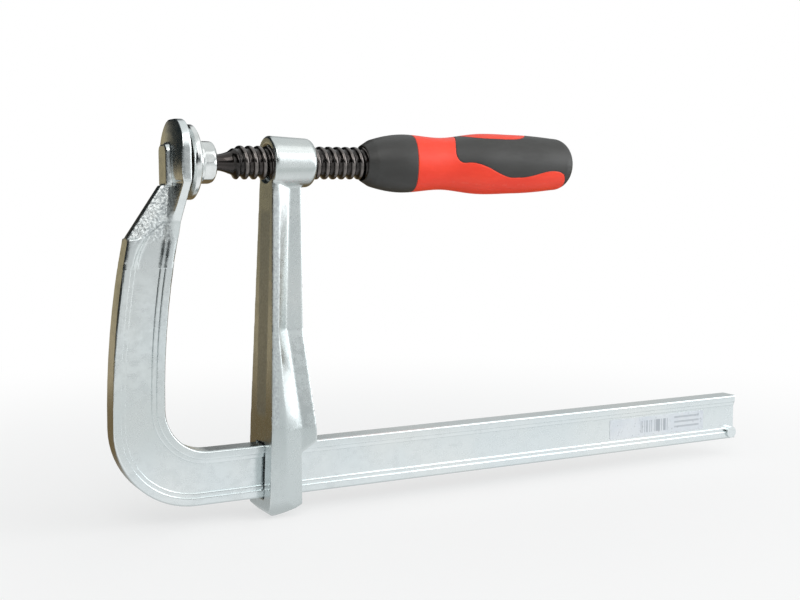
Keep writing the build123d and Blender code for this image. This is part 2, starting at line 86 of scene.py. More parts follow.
def copyNode(nodeName, pieceName):  # a merged copy of a CAD node, ready to be worked on
    piece = bpy.data.objects.new(pieceName, nodes[nodeName].data.copy())
    bpy.context.scene.collection.objects.link(piece)
    piece.data.materials.clear()
    makeActive(piece)
    bpy.ops.mesh.customdata_custom_splitnormals_clear()
    openMesh(piece)
    bpy.ops.mesh.select_all(action="SELECT")
    bpy.ops.mesh.remove_doubles(threshold=0.002 * mm)
    closeMesh()
    return piece


def cutAcross(piece, place, normal, fill=False):  # keeps what lies behind the plane
    openMesh(piece)
    bpy.ops.mesh.select_all(action="SELECT")
    bpy.ops.mesh.bisect(
        plane_co=place, plane_no=normal, use_fill=fill, clear_outer=True, threshold=0.0001 * mm,
    )
    closeMesh()


def finishWith(piece, kind, **settings):
    makeActive(piece)
    modifier = piece.modifiers.new(kind.title(), kind)
    for key, value in settings.items():
        setattr(modifier, key, value)
    bpy.ops.object.modifier_apply(modifier=modifier.name)


def remeshFine(piece, voxel):
    makeActive(piece)
    piece.data.remesh_voxel_size = voxel
    piece.data.use_remesh_fix_poles = True
    bpy.ops.object.voxel_remesh()


def weigh(piece, name, weightAt):  # a vertex group whose weight follows the place
    group = piece.vertex_groups.new(name=name)
    for vertex in piece.data.vertices:
        weight = weightAt(vertex.co)
        if weight > 0.001:
            group.add([vertex.index], min(weight, 1), "REPLACE")
    return name


def ramp(value, low, high):  # 0 at low, 1 at high, smooth between
    t = min(max((value - low) / (high - low), 0), 1)
    return t * t * (3 - 2 * t)


def smoothShade(piece, angle):
    makeActive(piece)
    bpy.ops.object.shade_smooth_by_angle(angle=math.radians(angle))


def drawOutline(name, points):  # an open outline in the XZ plane, as (along, radius) pairs
    bpy.ops.object.select_all(action="DESELECT")
    bpy.ops.mesh.primitive_plane_add(size=mm)
    outline = bpy.context.object
    outline.name = name
    bpy.ops.object.mode_set(mode="EDIT")
    bpy.ops.mesh.select_mode(type="VERT")
    bpy.ops.mesh.select_all(action="SELECT")
    bpy.ops.mesh.merge(type="CENTER")
    along, radius = points[0]
    bpy.ops.transform.translate(value=(along, 0, radius))
    for nextAlong, nextRadius in points[1:]:
        step = (nextAlong - along, 0, nextRadius - radius)
        bpy.ops.mesh.extrude_region_move(TRANSFORM_OT_translate={"value": step})
        along, radius = nextAlong, nextRadius
    closeMesh()
    return outline


def turnOutline(piece, steps):  # spins an outline about the screw's axis
    openMesh(piece)
    bpy.ops.mesh.select_all(action="SELECT")
    bpy.ops.mesh.spin(steps=steps, angle=2 * math.pi, center=(0, 0, 0), axis=(1, 0, 0))
    bpy.ops.mesh.select_all(action="SELECT")
    bpy.ops.mesh.remove_doubles(threshold=0.005 * mm)
    bpy.ops.mesh.normals_make_consistent(inside=False)
    closeMesh()


def arcPoints(centre, radius, start, end, count):  # outline points along an arc, angles in degrees
    turns = (math.radians(start + (end - start) * i / (count - 1)) for i in range(count))
    return [(centre[0] + radius * math.cos(turn), centre[1] + radius * math.sin(turn)) for turn in turns]


def bridgeOpenEdges(piece):
    openMesh(piece, "EDGE")
    bpy.ops.mesh.select_non_manifold(
        extend=False, use_wire=False, use_boundary=True,
        use_multi_face=False, use_non_contiguous=False, use_verts=False,
    )
    bpy.ops.mesh.bridge_edge_loops()
    closeMesh()


def fit(piece, body, nodeName, material):
    piece.data.materials.clear()
    piece.data.materials.append(material)
    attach(piece, body)
    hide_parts(nodeName)


# material groups
def newGroup(name, inputs, outputs):
    group = bpy.data.node_groups.new(name, "ShaderNodeTree")
    for label, kind, value in inputs:
        socket = group.interface.new_socket(label, in_out="INPUT", socket_type=kind)
        if value is not None:
            socket.default_value = value
    for label, kind in outputs:
        group.interface.new_socket(label, in_out="OUTPUT", socket_type=kind)
    return group, group.nodes.new("NodeGroupInput"), group.nodes.new("NodeGroupOutput")


def addNode(tree, kind, settings=None, **values):
    node = tree.nodes.new(kind)
    for key, value in (settings or {}).items():
        setattr(node, key, value)
    for key, value in values.items():
        node.inputs[key.replace("_", " ")].default_value = value
    return node


def mathNode(tree, operation, first, second=None, clamp=False):
    node = addNode(tree, "ShaderNodeMath", {"operation": operation, "use_clamp": clamp})
    for index, value in enumerate((first, second)):
        if value is None:
            continue
        if isinstance(value, (int, float)):
            node.inputs[index].default_value = value
        else:
            tree.links.new(value, node.inputs[index])
    return node.outputs[0]


def rampNode(tree, source, low, high, fromValue=0.0, toValue=1.0):
    node = addNode(tree, "ShaderNodeMapRange", {"interpolation_type": "SMOOTHSTEP"})
    for key, value in (("From Min", low), ("From Max", high), ("To Min", fromValue), ("To Max", toValue)):
        node.inputs[key].default_value = value
    tree.links.new(source, node.inputs["Value"])
    return node.outputs["Result"]


def mixColours(tree, factor, first, second):
    node = addNode(tree, "ShaderNodeMix", {"data_type": "RGBA", "blend_type": "MIX"})
    for index, value in ((0, factor), (6, first), (7, second)):
        if isinstance(value, (int, float)):
            node.inputs[index].default_value = value
        elif isinstance(value, tuple):
            node.inputs[index].default_value = (*value, 1)
        else:
            tree.links.new(value, node.inputs[index])
    return node.outputs[2]


def buildGrain():  # noise at two scales, for tone and for height
    group, given, out = newGroup(
        "surfaceGrain",
        [
            ("Vector", "NodeSocketVector", None),
            ("Scale", "NodeSocketFloat", 400.0),
            ("Stretch", "NodeSocketVector", (1, 1, 1)),
        ],
        [("Coarse", "NodeSocketFloat"), ("Fine", "NodeSocketFloat")],
    )
    stretch = addNode(group, "ShaderNodeVectorMath", {"operation": "MULTIPLY"})
    group.links.new(given.outputs["Vector"], stretch.inputs[0])
    group.links.new(given.outputs["Stretch"], stretch.inputs[1])
    for label, times, detail in (("Coarse", 0.12, 3.0), ("Fine", 1.0, 5.0)):
        noise = addNode(group, "ShaderNodeTexNoise", Detail=detail, Roughness=0.6)
        group.links.new(stretch.outputs[0], noise.inputs["Vector"])
        group.links.new(mathNode(group, "MULTIPLY", given.outputs["Scale"], times), noise.inputs["Scale"])
        group.links.new(noise.outputs["Fac"], out.inputs[label])
    return group


def buildEdgeWearAndHollowShade():  # masks of the convex edges, broken up by noise, and of the hollows, the latter for painted shade
    group, given, out = newGroup(
        "edgeWearAndHollowShade",
        [("Vector", "NodeSocketVector", None), ("Width", "NodeSocketFloat", 0.06)],
        [("Mask", "NodeSocketFloat"), ("HollowShade", "NodeSocketFloat")],
    )
    shape = group.nodes.new("ShaderNodeNewGeometry")
    noise = addNode(group, "ShaderNodeTexNoise", Scale=700.0, Detail=4.0)
    group.links.new(given.outputs["Vector"], noise.inputs["Vector"])
    rise = mathNode(group, "SUBTRACT", shape.outputs["Pointiness"], 0.5)
    sharp = mathNode(group, "DIVIDE", rise, given.outputs["Width"])
    broken = mathNode(group, "MULTIPLY", sharp, mathNode(group, "ADD", noise.outputs["Fac"], 0.5))
    group.links.new(rampNode(group, broken, 0.3, 1.0), out.inputs["Mask"])
    group.links.new(rampNode(group, mathNode(group, "MULTIPLY", sharp, -1.0), 0.3, 1.2), out.inputs["HollowShade"])
    return group


grainGroup = buildGrain()
wearAndShadeGroup = buildEdgeWearAndHollowShade()


def newMaterial(name, **values):
    material = bpy.data.materials.new(name)
    material.use_nodes = True
    tree = material.node_tree
    shader = tree.nodes["Principled BSDF"]
    for key, value in values.items():
        shader.inputs[key.replace("_", " ")].default_value = value
    place = tree.nodes.new("ShaderNodeTexCoord").outputs["Object"]
    return material, tree, shader, place


def addGrain(tree, place, scale, stretch=(1, 1, 1)):
    grain = addNode(tree, "ShaderNodeGroup", {"node_tree": grainGroup})
    grain.inputs["Scale"].default_value = scale
    grain.inputs["Stretch"].default_value = stretch
    tree.links.new(place, grain.inputs["Vector"])
    return grain


def addWearAndShade(tree, place, width):
    wearAndShade = addNode(tree, "ShaderNodeGroup", {"node_tree": wearAndShadeGroup})
    wearAndShade.inputs["Width"].default_value = width
    tree.links.new(place, wearAndShade.inputs["Vector"])
    return wearAndShade


def addBump(tree, shader, height, distance):
    bump = addNode(tree, "ShaderNodeBump", Strength=1.0, Distance=distance)
    tree.links.new(height, bump.inputs["Height"])
    tree.links.new(bump.outputs["Normal"], shader.inputs["Normal"])


def mixMaps(tree, factor, first, second):  # blends two value maps
    node = addNode(tree, "ShaderNodeMix", {"data_type": "FLOAT"})
    for index, value in ((0, factor), (2, first), (3, second)):
        if isinstance(value, (int, float)):
            node.inputs[index].default_value = value
        else:
            tree.links.new(value, node.inputs[index])
    return node.outputs[0]


def splitPlace(tree, place):
    split = tree.nodes.new("ShaderNodeSeparateXYZ")
    tree.links.new(place, split.inputs[0])
    return split.outputs["X"], split.outputs["Y"], split.outputs["Z"]


def radiusFromAxis(tree, place):  # distance from the screw's axis
    across, up = splitPlace(tree, place)[1:]
    acrossSquare = mathNode(tree, "MULTIPLY", across, across)
    upSquare = mathNode(tree, "MULTIPLY", up, up)
    return mathNode(tree, "SQRT", mathNode(tree, "ADD", acrossSquare, upSquare))


def rampLinear(tree, source, low, high):
    return mathNode(tree, "DIVIDE", mathNode(tree, "SUBTRACT", source, low), high - low, clamp=True)


def between(tree, source, low, high):
    above = mathNode(tree, "GREATER_THAN", source, low)
    below = mathNode(tree, "LESS_THAN", source, high)
    return mathNode(tree, "MULTIPLY", above, below)


def fade(tree, tone, mask, strength, towards):  # mixes in a tone where a mask lies
    return mixColours(tree, mathNode(tree, "MULTIPLY", mask, strength), tone, towards)


zincLooks = {
    "rolledZincPlate": {
        "pale": (0.79, 0.815, 0.805), "deep": (0.73, 0.785, 0.80),
        "grainScale": 420.0, "stretch": (0.5, 1, 0.7), "bumpDepth": 0.010 * mm, "rough": 0.25, "worn": False,
    },
    "forgedZincPlate": {
        "pale": (0.66, 0.685, 0.675), "deep": (0.59, 0.635, 0.635),
        "grainScale": 520.0, "stretch": (1, 1, 0.6), "bumpDepth": 0.012 * mm, "rough": 0.27, "worn": True,
    },
}
zincTones = {
    "flake": (0.55, 0.58, 0.59),
    "worn": (0.80, 0.82, 0.82),
    # painted shade: the grey that darkens the hollows
    "hollowShade": (0.42, 0.43, 0.42),
    "torn": (0.46, 0.49, 0.50),    # the rough skin that the forging left
}
tornBump = 2.5                     # how much deeper the torn skin's relief is
tornRough = 0.5


def makeZinc(name):
    look = zincLooks[name]
    material, tree, shader, place = newMaterial(name, Metallic=1.0)
    grain = addGrain(tree, place, look["grainScale"], look["stretch"])
    clouds = addGrain(tree, place, 110.0)
    tone = mixColours(tree, rampNode(tree, clouds.outputs["Coarse"], 0.3, 0.75), look["deep"], look["pale"])
    flakes = rampNode(tree, grain.outputs["Fine"], 0.5, 0.8, 0.0, 0.2)
    tone = mixColours(tree, flakes, tone, zincTones["flake"])
    # worn looks get lighter worn edges, and painted shade in the hollows
    if look["worn"]:
        wearAndShade = addWearAndShade(tree, place, 0.05)
        tone = fade(tree, tone, wearAndShade.outputs["Mask"], 0.35, zincTones["worn"])
        # painted shade: darkens the hollows towards a grey
        tone = fade(tree, tone, wearAndShade.outputs["HollowShade"], 0.4, zincTones["hollowShade"])
    torn = tree.nodes.new("ShaderNodeAttribute")
    torn.attribute_name = "tornSkin"
    tear = addGrain(tree, place, 900.0)
    fleck = rampNode(tree, tear.outputs["Fine"], 0.38, 0.62)
    tone = fade(tree, tone, torn.outputs["Fac"], fleck, zincTones["torn"])
    tree.links.new(tone, shader.inputs["Base Color"])
    mixed = mathNode(tree, "ADD", grain.outputs["Fine"], clouds.outputs["Fine"])
    skin = rampNode(tree, mixed, 0.75, 1.25, look["rough"] - 0.05, look["rough"] + 0.05)
    tree.links.new(mixMaps(tree, torn.outputs["Fac"], skin, tornRough), shader.inputs["Roughness"])
    relief = mathNode(tree, "MULTIPLY", fleck, tornBump)
    height = mixMaps(tree, torn.outputs["Fac"], grain.outputs["Fine"], relief)
    addBump(tree, shader, height, look["bumpDepth"])
    return material


threadLook = {
    "valley": (0.014, 0.011, 0.010),
    "flank": (0.034, 0.026, 0.023),
    "crest": (0.17, 0.15, 0.14),
    "crestRadius": (0.0081, 0.0087),   # where the crests, rubbed bright and painted lighter as a highlight, begin, and where they are full
}


def makeThreadSteel():
    material, tree, shader, place = newMaterial(
        "oiledThreadSteel", Metallic=0.9, Coat_Weight=0.6, Coat_Roughness=0.07,
    )
    radius = radiusFromAxis(tree, place)
    grain = addGrain(tree, place, 700.0, (1.0, 0.5, 0.5))
    uneven = mathNode(tree, "ADD", radius, mathNode(tree, "MULTIPLY", grain.outputs["Coarse"], 0.0006))
    crest = rampNode(tree, uneven, *threadLook["crestRadius"])
    patches = rampNode(tree, grain.outputs["Coarse"], 0.3, 0.7)
    tone = mixColours(tree, patches, threadLook["valley"], threadLook["flank"])
    # the crests: rubbed steel, painted lighter as a highlight
    tone = mixColours(tree, crest, tone, threadLook["crest"])
    tree.links.new(tone, shader.inputs["Base Color"])
    tree.links.new(rampNode(tree, grain.outputs["Fine"], 0.35, 0.65, 0.12, 0.24), shader.inputs["Roughness"])
    addBump(tree, shader, grain.outputs["Fine"], 0.010 * mm)
    return material


def makeTurnedSteel(name, tone, rough, ringScale):
    material, tree, shader, place = newMaterial(name, Metallic=1.0)
    rings = addNode(
        tree, "ShaderNodeTexWave", {"wave_type": "RINGS", "rings_direction": "X"},
        Scale=ringScale, Distortion=0.6, Detail=2.0,
    )
    tree.links.new(place, rings.inputs["Vector"])
    grain = addGrain(tree, place, 500.0)
    darker = tuple(0.82 * part for part in tone)
    patches = rampNode(tree, grain.outputs["Coarse"], 0.35, 0.7)
    tree.links.new(mixColours(tree, patches, tone, darker), shader.inputs["Base Color"])
    skin = rampNode(tree, grain.outputs["Fine"], 0.3, 0.7, rough - 0.05, rough + 0.07)
    tree.links.new(skin, shader.inputs["Roughness"])
    marks = mathNode(tree, "MULTIPLY", rings.outputs["Fac"], 0.5)
    height = mathNode(tree, "ADD", marks, grain.outputs["Fine"])
    addBump(tree, shader, height, 0.006 * mm)
    return material


plasticLooks = {
    "redHardPlastic": {
        "tone": (1.0, 0.050, 0.014), "shade": (0.94, 0.040, 0.011), "rubbed": (1.0, 0.13, 0.07),
        "rough": 0.40, "grainScale": 1100.0, "bumpDepth": 0.012 * mm,
    },
    "blackSoftGrip": {
        "tone": (0.042, 0.041, 0.039), "shade": (0.034, 0.033, 0.031), "rubbed": (0.085, 0.083, 0.08),
        "rough": 0.46, "grainScale": 1500.0, "bumpDepth": 0.03 * mm,
    },
}


def makePlastic(name):
    look = plasticLooks[name]
    material, tree, shader, place = newMaterial(name, IOR=1.5)
    grain = addGrain(tree, place, look["grainScale"])
    dust = addGrain(tree, place, 90.0, (0.4, 1, 1))
    wearAndShade = addWearAndShade(tree, place, 0.04)
    patches = rampNode(tree, dust.outputs["Fine"], 0.35, 0.7)
    tone = mixColours(tree, patches, look["tone"], look["shade"])
    tone = fade(tree, tone, wearAndShade.outputs["Mask"], 0.25, look["rubbed"])
    tree.links.new(tone, shader.inputs["Base Color"])
    texture = mathNode(tree, "MULTIPLY", grain.outputs["Fine"], 0.5)
    mixed = mathNode(tree, "ADD", texture, dust.outputs["Fine"])
    skin = rampNode(tree, mixed, 0.55, 0.95, look["rough"] - 0.06, look["rough"] + 0.08)
    tree.links.new(skin, shader.inputs["Roughness"])
    addBump(tree, shader, grain.outputs["Fine"], look["bumpDepth"])
    return material


labelLook = {
    "bars": (0.30, 0.62),      # share of the label's length that holds the upright bars
    "lines": (0.68, 0.95),     # and the plain lines beside them
    "ink": (0.33, 0.36, 0.40),
    "film": (0.66, 0.70, 0.75),
    "sheen": (0.74, 0.77, 0.80),
    "barSteps": 150.0,         # places for a bar along the whole label
    "barRise": (0.18, 0.80),   # share of the label's height that the bars take up
    "lineRise": (0.12, 0.86),  # and the same for the lines
    "lineRows": 4.0,
}


def makeLabelFilm():  # plain bars and lines, no lettering
    material, tree, shader, place = newMaterial("printedLabelFilm", Metallic=0.25)
    low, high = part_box("size_label")
    along, across, up = splitPlace(tree, place)
    share = rampLinear(tree, along, low.x, high.x)
    rise = rampLinear(tree, up, low.z, high.z)
    stripes = addNode(tree, "ShaderNodeTexWhiteNoise", {"noise_dimensions": "1D"})
    steps = mathNode(tree, "FLOOR", mathNode(tree, "MULTIPLY", share, labelLook["barSteps"]))
    tree.links.new(steps, stripes.inputs["W"])
    bars = between(tree, share, *labelLook["bars"])
    bars = mathNode(tree, "MULTIPLY", bars, between(tree, rise, *labelLook["barRise"]))
    bars = mathNode(tree, "MULTIPLY", bars, mathNode(tree, "GREATER_THAN", stripes.outputs["Value"], 0.55))
    rowPlace = mathNode(tree, "FRACT", mathNode(tree, "MULTIPLY", rise, labelLook["lineRows"]))
    rows = mathNode(tree, "LESS_THAN", rowPlace, 0.38)
    rows = mathNode(tree, "MULTIPLY", rows, between(tree, share, *labelLook["lines"]))
    rows = mathNode(tree, "MULTIPLY", rows, between(tree, rise, *labelLook["lineRise"]))
    ink = mathNode(tree, "MAXIMUM", bars, mathNode(tree, "MULTIPLY", rows, 0.7))
    ink = mathNode(tree, "MULTIPLY", ink, 0.75)
    grain = addGrain(tree, place, 500.0)
    patches = rampNode(tree, grain.outputs["Coarse"], 0.3, 0.7)
    film = mixColours(tree, patches, labelLook["film"], labelLook["sheen"])
    tree.links.new(mixColours(tree, ink, film, labelLook["ink"]), shader.inputs["Base Color"])
    tree.links.new(rampNode(tree, grain.outputs["Fine"], 0.3, 0.7, 0.26, 0.40), shader.inputs["Roughness"])
    addBump(tree, shader, grain.outputs["Coarse"], 0.01 * mm)
    return material


print("materials")
railZinc = makeZinc("rolledZincPlate")
forgedZinc = makeZinc("forgedZincPlate")
threadSteel = makeThreadSteel()
padSteel = makeTurnedSteel("brightPadSteel", (0.83, 0.85, 0.84), 0.16, 900.0)
springSteel = makeTurnedSteel("plainSpringSteel", (0.36, 0.37, 0.38), 0.28, 1400.0)
redPlastic = makePlastic("redHardPlastic")
blackGrip = makePlastic("blackSoftGrip")
labelFilm = makeLabelFilm()


# camera, lights and floor
cameraSetup = {
    "place": (-0.18185, -0.57232, -0.01391),
    "turn": 27.66,        # degrees from +Y towards +X
    "tilt": 5.09,         # degrees downwards
    "roll": -0.28,
    "lens": 55.4,
}


def addCamera():
    turn, tilt, roll = (math.radians(cameraSetup[key]) for key in ("turn", "tilt", "roll"))
    bpy.ops.object.camera_add(location=cameraSetup["place"])
    camera = bpy.context.object
    camera.name = "studioCamera"
    camera.data.lens = cameraSetup["lens"]
    camera.data.clip_start = 0.01
    aim = Matrix.Rotation(-turn, 4, "Z") @ Matrix.Rotation(math.pi / 2 - tilt, 4, "X")
    camera.rotation_euler = (aim @ Matrix.Rotation(roll, 4, "Z")).to_euler()
    bpy.context.scene.camera = camera


studio = {
    "key": {"place": (-0.5, -1.0, 0.9), "size": 0.8, "power": 5, "colour": (1, 0.99, 0.97)},
    "side": {"place": (1.0, -0.9, 0.4), "size": 0.8, "power": 3.5, "colour": (0.95, 0.98, 1)},
    "right": {"place": (1.4, -0.4, -0.05), "size": 0.8, "power": 4, "colour": (0.97, 0.98, 1)},
    "top": {"place": (0.1, 0.1, 1.3), "size": 2.2, "power": 4, "colour": (1, 1, 1)},
}


# what the bright steel mirrors: sides in degrees from -X towards +Y, heights as the rise
# of a ray one unit long
reflectedCards = [
    {"sides": (64, 104), "heights": (-2.0, 0.16), "soft": 3, "tone": (0.40, 0.34, 0.21)},
    {"sides": (104, 142), "heights": (-2.0, 0.10), "soft": 8, "tone": (0.42, 0.38, 0.29)},
    {"sides": (58, 112), "heights": (0.16, 0.75), "soft": 6, "tone": (0.012, 0.015, 0.015)},
    {"sides": (-72, 66), "heights": (-2.0, 0.75), "soft": 4, "tone": (0.018, 0.023, 0.024)},
    {"sides": (-109, -68), "heights": (-0.02, 0.22), "soft": 1.5, "tone": (0.06, 0.075, 0.075)},
    {"sides": (-176, -70), "heights": (0.36, 0.86), "soft": 6, "tone": (1.35, 1.37, 1.37)},
]
cardSoft = 0.03       # half the width of a card's soft upper and lower edges

# what it mirrors of the floor, from the front to the back: the floor glows with these tones for glossy rays
# only, a painted reflection, and the dim band in front and the dark band under the clamp are painted shade
reflectedFloor = [
    {"from": -1.5, "to": -0.5, "tone": (0.93, 0.96, 0.97)},
    # painted shade: a dim band in front
    {"from": -0.55, "to": -0.32, "tone": (0.70, 0.74, 0.74)},
    {"from": -0.22, "to": -0.12, "tone": (0.97, 0.99, 1.0)},
    # painted shadow of the clamp itself, under it
    {"from": -0.05, "to": 0.02, "tone": (0.55, 0.57, 0.57)},
    {"from": 0.04, "to": 0.10, "tone": (0.17, 0.125, 0.065)},
    {"from": 0.35, "to": 0.65, "tone": (0.42, 0.35, 0.23)},
]


def addLights():
    aimAt = Vector((0.12, 0, -0.06))
    for name, light in studio.items():
        bpy.ops.object.light_add(type="AREA", location=light["place"])
        lamp = bpy.context.object
        lamp.name = name + "Light"
        lamp.data.size = light["size"]
        lamp.data.energy = light["power"]
        lamp.data.color = light["colour"]
        lamp.rotation_euler = (aimAt - lamp.location).to_track_quat("-Z", "Y").to_euler()


def addWorld():
    world = bpy.data.worlds.new("studioWorld")
    bpy.context.scene.world = world
    world.use_nodes = True
    tree = world.node_tree
    back = tree.nodes["Background"]
    seen = addNode(tree, "ShaderNodeBackground", Color=(1, 1, 1, 1), Strength=1.0)
    direction = tree.nodes.new("ShaderNodeTexCoord").outputs["Generated"]
    along, across, up = splitPlace(tree, direction)
    sky = mixColours(tree, rampNode(tree, up, -0.1, 0.8), (0.66, 0.68, 0.69), (0.60, 0.63, 0.63))
    turned = mathNode(tree, "ARCTAN2", across, mathNode(tree, "MULTIPLY", along, -1.0))
    side = mathNode(tree, "DEGREES", turned)
    for card in reflectedCards:
        left, right = card["sides"]
        low, high = card["heights"]
        soft = card["soft"]
        pastLeft = rampNode(tree, side, left - soft, left + soft)
        beforeRight = rampNode(tree, side, right + soft, right - soft)
        inside = mathNode(tree, "MULTIPLY", pastLeft, beforeRight)
        inside = mathNode(tree, "MULTIPLY", inside, rampNode(tree, up, low - cardSoft, low + cardSoft))
        inside = mathNode(tree, "MULTIPLY", inside, rampNode(tree, up, high + cardSoft, high - cardSoft))
        sky = mixColours(tree, inside, sky, card["tone"])
    tree.links.new(sky, back.inputs["Color"])
    back.inputs["Strength"].default_value = 0.95
    rays = tree.nodes.new("ShaderNodeLightPath")
    choose = tree.nodes.new("ShaderNodeMixShader")
    tree.links.new(rays.outputs["Is Camera Ray"], choose.inputs[0])
    tree.links.new(back.outputs[0], choose.inputs[1])
    tree.links.new(seen.outputs[0], choose.inputs[2])
    tree.links.new(choose.outputs[0], tree.nodes["World Output"].inputs["Surface"])


def addFloor():
    bpy.ops.mesh.primitive_plane_add(size=6, location=(0.1, 0, cadBounds[0].z - 0.5 * mm))
    floor = bpy.context.object
    floor.name = "floor"
    paint, tree, shader, place = newMaterial("paleFloor", Roughness=0.9, Base_Color=(0.84, 0.84, 0.84, 1))
    away = addNode(tree, "ShaderNodeVectorMath", {"operation": "LENGTH"})
    tree.links.new(place, away.inputs[0])
    rays = tree.nodes.new("ShaderNodeLightPath")
    white = addNode(tree, "ShaderNodeEmission", Color=(1, 1, 1, 1))
    fadeOut = tree.nodes.new("ShaderNodeMixShader")
    whiteness = rampNode(tree, away.outputs["Value"], 0.1, 0.6, 0.62, 1.0)
    far = mathNode(tree, "MULTIPLY", whiteness, rays.outputs["Is Camera Ray"])
    tree.links.new(far, fadeOut.inputs[0])
    tree.links.new(shader.outputs[0], fadeOut.inputs[1])
    tree.links.new(white.outputs[0], fadeOut.inputs[2])
    depth = splitPlace(tree, place)[1]
    tone = reflectedFloor[0]["tone"]
    for step in reflectedFloor[1:]:
        tone = mixColours(tree, rampNode(tree, depth, step["from"], step["to"]), tone, step["tone"])
    # the floor's painted reflection, glowing for glossy rays only
    mirrored = tree.nodes.new("ShaderNodeEmission")
    tree.links.new(tone, mirrored.inputs["Color"])
    mirror = tree.nodes.new("ShaderNodeMixShader")
    tree.links.new(rays.outputs["Is Glossy Ray"], mirror.inputs[0])
    tree.links.new(fadeOut.outputs[0], mirror.inputs[1])
    tree.links.new(mirrored.outputs[0], mirror.inputs[2])
    tree.links.new(mirror.outputs[0], tree.nodes["Material Output"].inputs["Surface"])
    floor.data.materials.append(paint)
    floor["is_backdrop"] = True


# rail, bow and fixed jaw: one bar, rolled below the seam and forged above it
railShape = {
    "seam": -50.5 * mm,        # where the rolled bar meets the forged neck
    "voxel": 0.42 * mm,
    "levels": (6.0 * mm, 5.1 * mm),   # heights of the rolled steps' outer edges above the bar's middle
    "slope": 0.8 * mm,        # width of the slope that each step becomes
    "settle": 8,              # smoothing passes all over the forging
    "settleHead": 9,          # and further passes on the neck and head
    "crinkleSize": 1.2 * mm,
    "crinkleDepth": 0.6 * mm,
}


def crinkleAt(co):  # where the neck's sides kept their rough forging skin
    upAndDown = ramp(co.z, -39 * mm, -34 * mm) * ramp(co.z, -9 * mm, -13 * mm)
    behind = ramp(co.x, -5.5 * mm, -8.0 * mm)
    return upAndDown * behind * ramp(abs(co.y), 2.4 * mm, 3.6 * mm)


def paintSkin(piece, weightAt):
    layer = piece.data.attributes.new("tornSkin", "FLOAT", "POINT")
    for vertex, value in zip(piece.data.vertices, layer.data):
        value.value = weightAt(vertex)


def slopeSteps(piece):  # turns the rolled bar's steps into slopes
    openMesh(piece)
    bpy.ops.mesh.select_all(action="SELECT")
    bpy.ops.mesh.dissolve_limited(angle_limit=math.radians(0.5))
    bpy.ops.mesh.select_mode(type="EDGE")
    bpy.ops.mesh.select_all(action="DESELECT")
    shape = bmesh.from_edit_mesh(piece.data)
    for edge in shape.edges:
        heights = [abs(vertex.co.y) for vertex in edge.verts]
        misses = [max(abs(height - level) for height in heights) for level in railShape["levels"]]
        onStep = min(misses) < 0.02 * mm
        if onStep and edge.is_convex and edge.calc_face_angle(0) > math.radians(60):
            edge.select = True
    bmesh.update_edit_mesh(piece.data)
    bpy.ops.mesh.bevel(offset=railShape["slope"], segments=2, affect="EDGES", clamp_overlap=False)
    closeMesh()


def buildRail():
    seam = railShape["seam"]
    bar = copyNode("rail_and_fixed_jaw", "rail_and_jaw_forging")
    cutAcross(bar, (0, 0, seam), (0, 0, 1))
    slopeSteps(bar)
    forged = copyNode("rail_and_fixed_jaw", "forged_end")
    cutAcross(forged, (0, 0, seam - 3 * mm), (0, 0, -1), fill=True)
    remeshFine(forged, railShape["voxel"])
    finishWith(forged, "SMOOTH", factor=0.5, iterations=railShape["settle"])
    soft = weigh(forged, "soft", lambda co: ramp(co.z, -48 * mm, -36 * mm))
    finishWith(forged, "SMOOTH", factor=0.5, iterations=railShape["settleHead"], vertex_group=soft)
    marks = bpy.data.textures.new("forgingMarks", "CLOUDS")
    marks.noise_scale = railShape["crinkleSize"]
    crinkle = weigh(forged, "crinkle", crinkleAt)
    finishWith(
        forged, "DISPLACE", texture=marks, texture_coords="LOCAL", strength=railShape["crinkleDepth"],
        mid_level=0.5, vertex_group=crinkle,
    )
    cutAcross(forged, (0, 0, seam + 0.4 * mm), (0, 0, -1))
    makeActive(bar)
    forged.select_set(True)
    bpy.ops.object.join()
    bridgeOpenEdges(bar)
    paintSkin(bar, lambda vertex: crinkleAt(vertex.co))
    smoothShade(bar, 35)
    finishWith(bar, "WEIGHTED_NORMAL", weight=100, keep_sharp=True)
    fit(bar, "rail", "rail_and_fixed_jaw", railZinc)


# sliding arm: a drop forging
armShape = {
    "voxel": 0.55 * mm,
    "settle": 7,
    "grooveEnds": (-124 * mm, -26 * mm),
    "grooveHalf": 5.6 * mm,
    "settleGroove": 12,       # further passes that soften the groove
    "face": 44 * mm,          # its front face on the screw's axis, and how much it leans
    "lean": 0.0384,
    "flash": 4.2 * mm,        # width of the band where the flash was sheared off
    "top": -13 * mm,          # the band runs from under the collar to the foot
    "foot": -128 * mm,
}


def flashAt(vertex):
    behindFace = vertex.co.x - armShape["face"] - armShape["lean"] * vertex.co.z
    flash, foot, top = armShape["flash"], armShape["foot"], armShape["top"]
    band = ramp(behindFace, 0.1 * mm, 0.8 * mm) * ramp(behindFace, flash, flash - 0.8 * mm)
    reach = ramp(vertex.co.z, foot - 6 * mm, foot) * ramp(vertex.co.z, top, top - 3 * mm)
    return band * reach * ramp(abs(vertex.normal.y), 0.6, 0.9)


def grooveAt(co):
    low, high = armShape["grooveEnds"]
    depth = co.x - armShape["face"] - armShape["lean"] * co.z
    inside = ramp(co.z, low - 4 * mm, low) * ramp(co.z, high + 4 * mm, high) * ramp(depth, 2.5 * mm, 1.8 * mm)
    return inside * ramp(abs(co.y), armShape["grooveHalf"] + mm, armShape["grooveHalf"])


